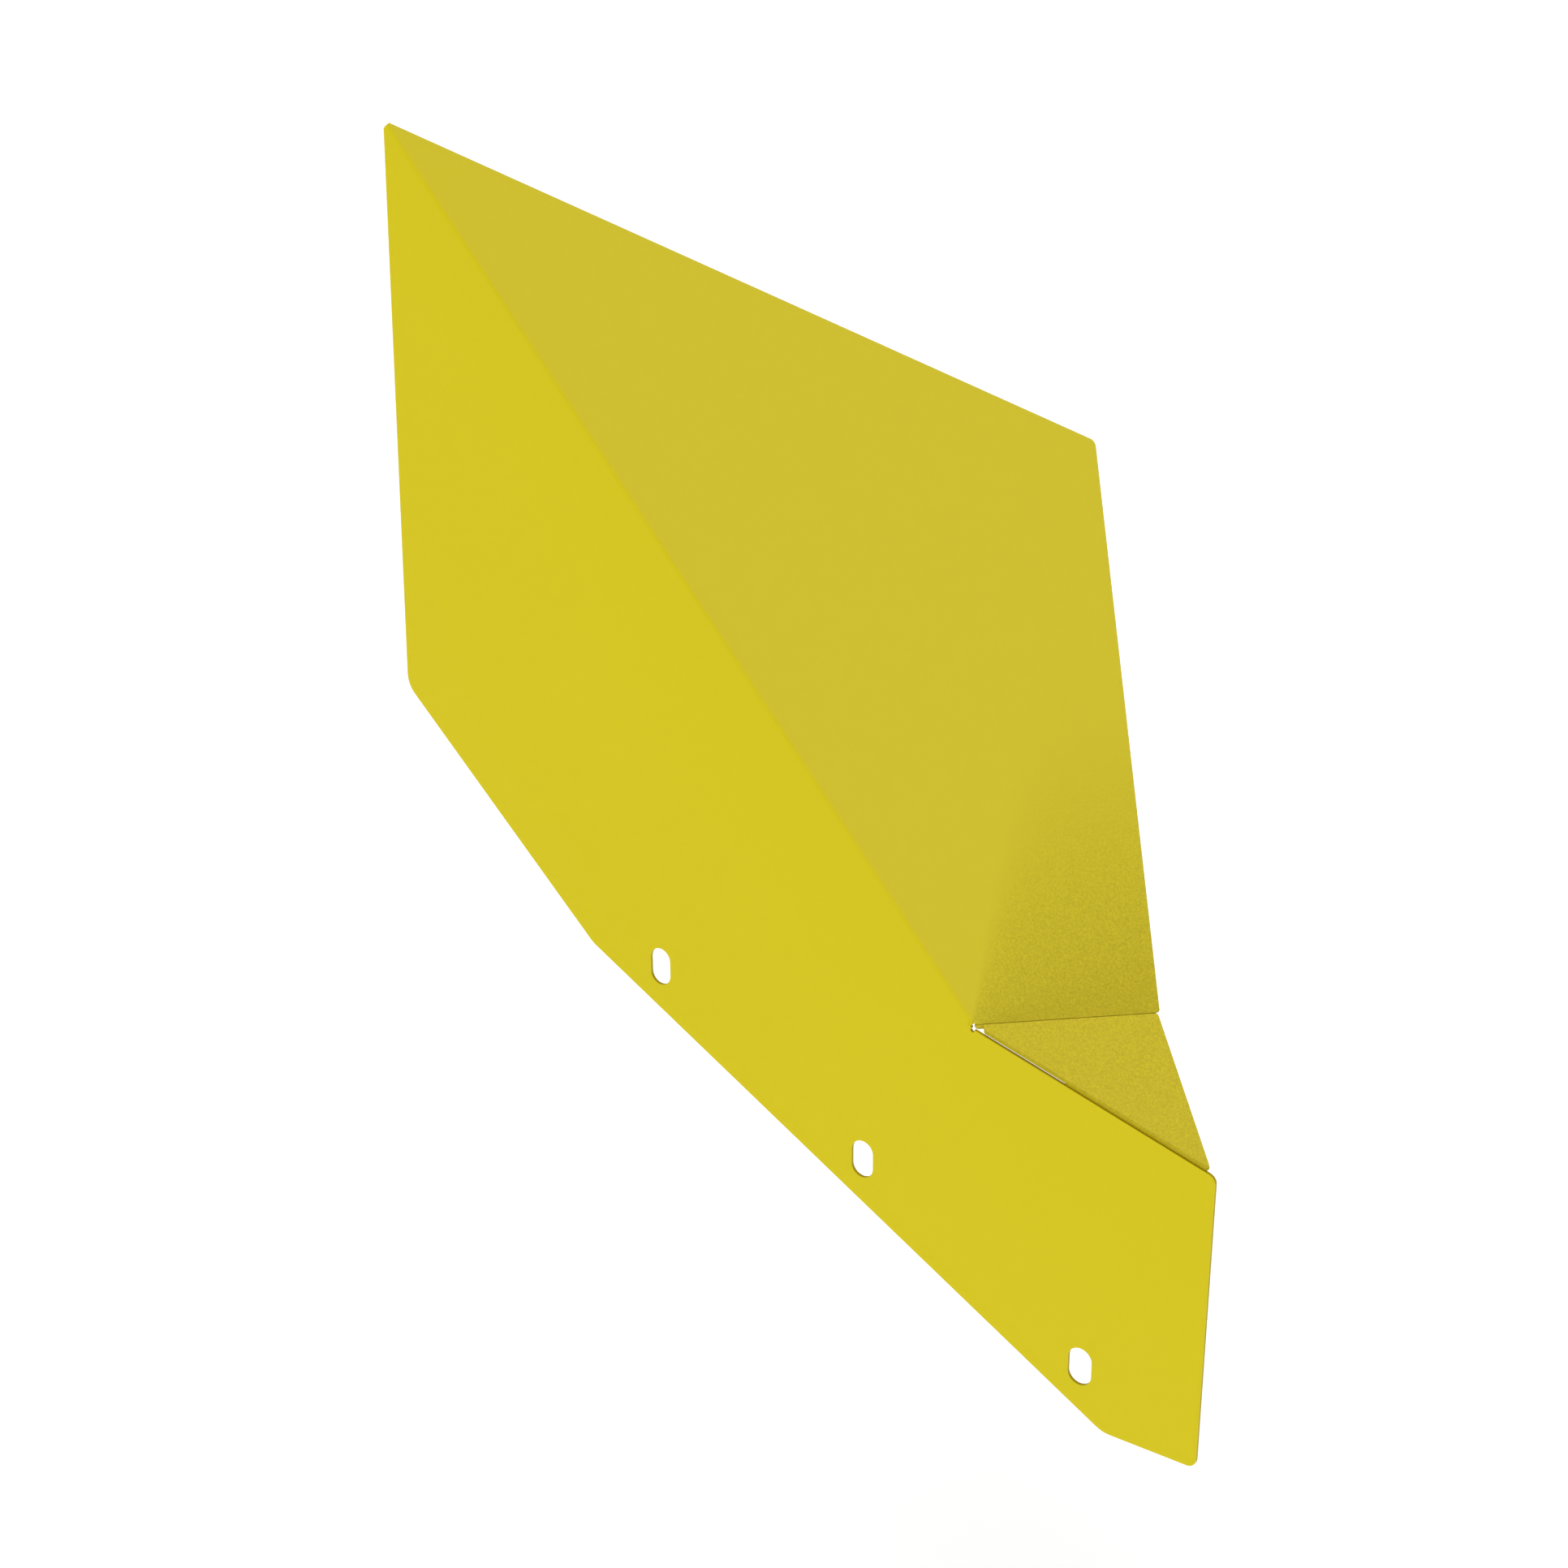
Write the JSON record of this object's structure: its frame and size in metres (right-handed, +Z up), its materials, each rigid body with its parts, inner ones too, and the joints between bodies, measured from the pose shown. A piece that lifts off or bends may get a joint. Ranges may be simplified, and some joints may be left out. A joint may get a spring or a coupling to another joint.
{
  "type": "folded sheet-steel deflector plate",
  "caption": "Bolt-on deflector of painted sheet steel: a flat slotted flange, a wing folded back along a slanting line, and a welded gusset that closes the corner below it.",
  "frame": {"origin": "centre of the middle slot, on the flange's back (mounting) face", "axes": "+Z up, along the upright slots and the flange's straight upright edge; +X towards that edge, to the right seen from the front; +Y out of the flange's back face, the way the wing folds"},
  "size_m": [0.4997, 0.1195, 0.6122],
  "materials": {
    "sheet_paint": "smooth semi-gloss yellow paint on sheet steel",
    "gusset_paint": "smooth semi-gloss yellow paint on sheet steel",
    "weld_paint": "yellow paint over a rippled weld bead"
  },
  "bodies": {
    "root": {"wing_plate": "sheet_paint", "end_gusset": "gusset_paint", "fold_weld": "weld_paint", "seam_weld": "weld_paint"}
  },
  "joints": []
}
